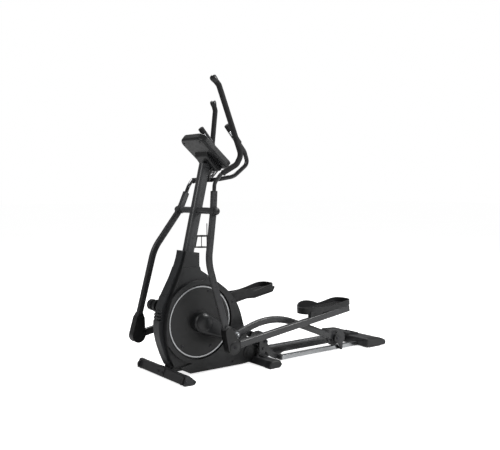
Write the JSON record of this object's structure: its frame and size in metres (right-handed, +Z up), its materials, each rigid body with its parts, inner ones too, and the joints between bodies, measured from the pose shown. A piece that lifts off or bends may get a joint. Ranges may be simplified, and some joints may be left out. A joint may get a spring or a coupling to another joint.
{
  "type": "elliptical trainer",
  "caption": "Front-drive elliptical trainer: charcoal housing with crank discs, swinging handlebars, foot pedals on long arms, rollers on chrome rails, console on a mast.",
  "frame": {"origin": "centre of the bounding box on the floor", "axes": "+X to the rear, where the user stands; +Y across the machine; +Z up; nodes and bodies called left are at -Y"},
  "size_m": [1.7196, 0.546, 1.691],
  "materials": {
    "frame_paint": "satin charcoal powder coat",
    "steel": "satin",
    "housing_plastic": "fine grain, satin",
    "alloy": "cast",
    "silver_trim": "polished",
    "disc_plastic": "semi gloss",
    "cast_iron": "machined",
    "belt_rubber": "matte",
    "chrome": "polished",
    "lens": "gloss",
    "gloss_black": "gloss",
    "foam": "soft matte foam",
    "wire": "gloss",
    "button_grey": "satin",
    "wheel_rubber": "matte"
  },
  "bodies": {
    "frame": {"base_frame": "frame_paint", "crank_bearings": "steel", "mast": "frame_paint", "pivot_axle": "steel", "front_stabilizer": "frame_paint", "front_feet": "housing_plastic", "mid_stabilizer": "frame_paint", "end_caps": "housing_plastic", "rear_stabilizer": "frame_paint", "slide_rails": "chrome", "rail_beam": "frame_paint", "rail_brackets": "frame_paint", "nose_cover": "housing_plastic", "neck_front_cover": "housing_plastic", "neck_covers": "housing_plastic", "hub_caps": "housing_plastic", "drive_belt": "belt_rubber", "console_back": "housing_plastic", "console_front": "housing_plastic", "display_lens": "lens", "fixed_handlebar": "gloss_black", "fixed_grips": "foam", "bottle_cage": "wire", "housing_left": "housing_plastic", "housing_right": "housing_plastic"},
    "crank": {"crank_axle": "steel", "drive_pulley": "alloy", "crank_arms": "steel", "crank_discs": "disc_plastic", "disc_rings": "silver_trim", "crank_boot_left": "housing_plastic", "crank_boot_right": "housing_plastic"},
    "flywheel_set": {"flywheel": "cast_iron", "flywheel_axle": "steel"},
    "left_swing": {"swing_arm_left": "frame_paint", "elbow_cover_left": "housing_plastic", "handlebar_left": "gloss_black", "hand_grip_left": "foam"},
    "left_pedal": {"pedal_arm_left": "frame_paint", "pedal_left": "housing_plastic"},
    "left_carriage": {"roller_carriage_left": "steel"},
    "left_link": {"roller_arm_left": "frame_paint", "crank_pin_bolt_left": "chrome"},
    "left_roller": {"roller_wheel_left": "wheel_rubber"},
    "left_transport": {"transport_wheel_left": "wheel_rubber"},
    "right_swing": {"swing_arm_right": "frame_paint", "elbow_cover_right": "housing_plastic", "handlebar_right": "gloss_black", "hand_grip_right": "foam"},
    "right_pedal": {"pedal_arm_right": "frame_paint", "pedal_right": "housing_plastic"},
    "right_carriage": {"roller_carriage_right": "steel"},
    "right_link": {"roller_arm_right": "frame_paint", "crank_pin_bolt_right": "chrome"},
    "right_roller": {"roller_wheel_right": "wheel_rubber"},
    "right_transport": {"transport_wheel_right": "wheel_rubber"},
    "key_1": {"button_1": "button_grey"},
    "key_2": {"button_2": "button_grey"},
    "key_3": {"button_3": "button_grey"},
    "key_4": {"button_4": "button_grey"}
  },
  "joints": [
    {"name": "crank", "type": "hinge", "parent": "frame", "child": "crank", "pos_m": [-0.5574, 0, 0.302], "axis": [0, -1, 0], "range_deg": [0, 180]},
    {"name": "left_swing", "type": "hinge", "parent": "frame", "child": "left_swing", "pos_m": [-0.5384, -0.178, 0.947], "axis": [0, 1, 0], "range_deg": [0, 28.16]},
    {"name": "left_elbow", "type": "hinge", "parent": "left_swing", "child": "left_pedal", "pos_m": [-0.43696, -0.217, 0.16596], "axis": [0, 1, 0], "range_deg": [-31.7, 0]},
    {"name": "left_rail_slide", "type": "slide", "parent": "frame", "child": "left_carriage", "axis": [1, 0, 0], "range_m": [-0.4279, 0]},
    {"name": "left_link_tilt", "type": "hinge", "parent": "left_carriage", "child": "left_link", "pos_m": [0.44947, -0.15, 0.09], "axis": [0, 1, 0], "range_deg": [0, 12.92]},
    {"name": "left_roller_spin", "type": "hinge", "parent": "left_carriage", "child": "left_roller", "pos_m": [0.44947, -0.13, 0.09], "axis": [0, 1, 0], "continuous": true},
    {"name": "left_transport_spin", "type": "hinge", "parent": "frame", "child": "left_transport", "pos_m": [-0.7794, -0.242, 0.027], "axis": [0, 1, 0], "continuous": true},
    {"name": "right_swing", "type": "hinge", "parent": "frame", "child": "right_swing", "pos_m": [-0.5384, 0.178, 0.947], "axis": [0, 1, 0], "range_deg": [-28.16, 0]},
    {"name": "right_elbow", "type": "hinge", "parent": "right_swing", "child": "right_pedal", "pos_m": [-0.8168, 0.217, 0.21024], "axis": [0, 1, 0], "range_deg": [0, 31.7]},
    {"name": "right_rail_slide", "type": "slide", "parent": "frame", "child": "right_carriage", "axis": [1, 0, 0], "range_m": [0, 0.4279]},
    {"name": "right_link_tilt", "type": "hinge", "parent": "right_carriage", "child": "right_link", "pos_m": [0.02241, 0.15, 0.09], "axis": [0, 1, 0], "range_deg": [-12.92, 0]},
    {"name": "right_roller_spin", "type": "hinge", "parent": "right_carriage", "child": "right_roller", "pos_m": [0.02241, 0.13, 0.09], "axis": [0, 1, 0], "continuous": true},
    {"name": "right_transport_spin", "type": "hinge", "parent": "frame", "child": "right_transport", "pos_m": [-0.7794, 0.242, 0.027], "axis": [0, 1, 0], "continuous": true},
    {"name": "flywheel_spin", "type": "hinge", "parent": "frame", "child": "flywheel_set", "pos_m": [-0.3914, 0, 0.33], "axis": [0, -1, 0], "continuous": true},
    {"name": "key_1_press", "type": "slide", "parent": "frame", "child": "key_1", "axis": [-0.6561, 0, -0.7547], "range_m": [0, 0.0015], "stiffness_N_per_m": 400},
    {"name": "key_2_press", "type": "slide", "parent": "frame", "child": "key_2", "axis": [-0.6561, 0, -0.7547], "range_m": [0, 0.0015], "stiffness_N_per_m": 400},
    {"name": "key_3_press", "type": "slide", "parent": "frame", "child": "key_3", "axis": [-0.6561, 0, -0.7547], "range_m": [0, 0.0015], "stiffness_N_per_m": 400},
    {"name": "key_4_press", "type": "slide", "parent": "frame", "child": "key_4", "axis": [-0.6561, 0, -0.7547], "range_m": [0, 0.0015], "stiffness_N_per_m": 400}
  ],
  "couplings": [
    {"joint": "left_swing", "follows": "crank", "ratio": 0.15611},
    {"joint": "left_elbow", "follows": "crank", "ratio": -0.17578},
    {"joint": "left_rail_slide", "follows": "crank", "m_per_rad": -0.13594},
    {"joint": "left_link_tilt", "follows": "crank", "ratio": 0.07161},
    {"joint": "left_roller_spin", "follows": "crank", "ratio": -2.5795},
    {"joint": "right_swing", "follows": "crank", "ratio": -0.15611},
    {"joint": "right_elbow", "follows": "crank", "ratio": 0.17578},
    {"joint": "right_rail_slide", "follows": "crank", "m_per_rad": 0.13594},
    {"joint": "right_link_tilt", "follows": "crank", "ratio": -0.07161},
    {"joint": "right_roller_spin", "follows": "crank", "ratio": 2.5795},
    {"joint": "flywheel_spin", "follows": "crank", "ratio": 6.6}
  ]
}
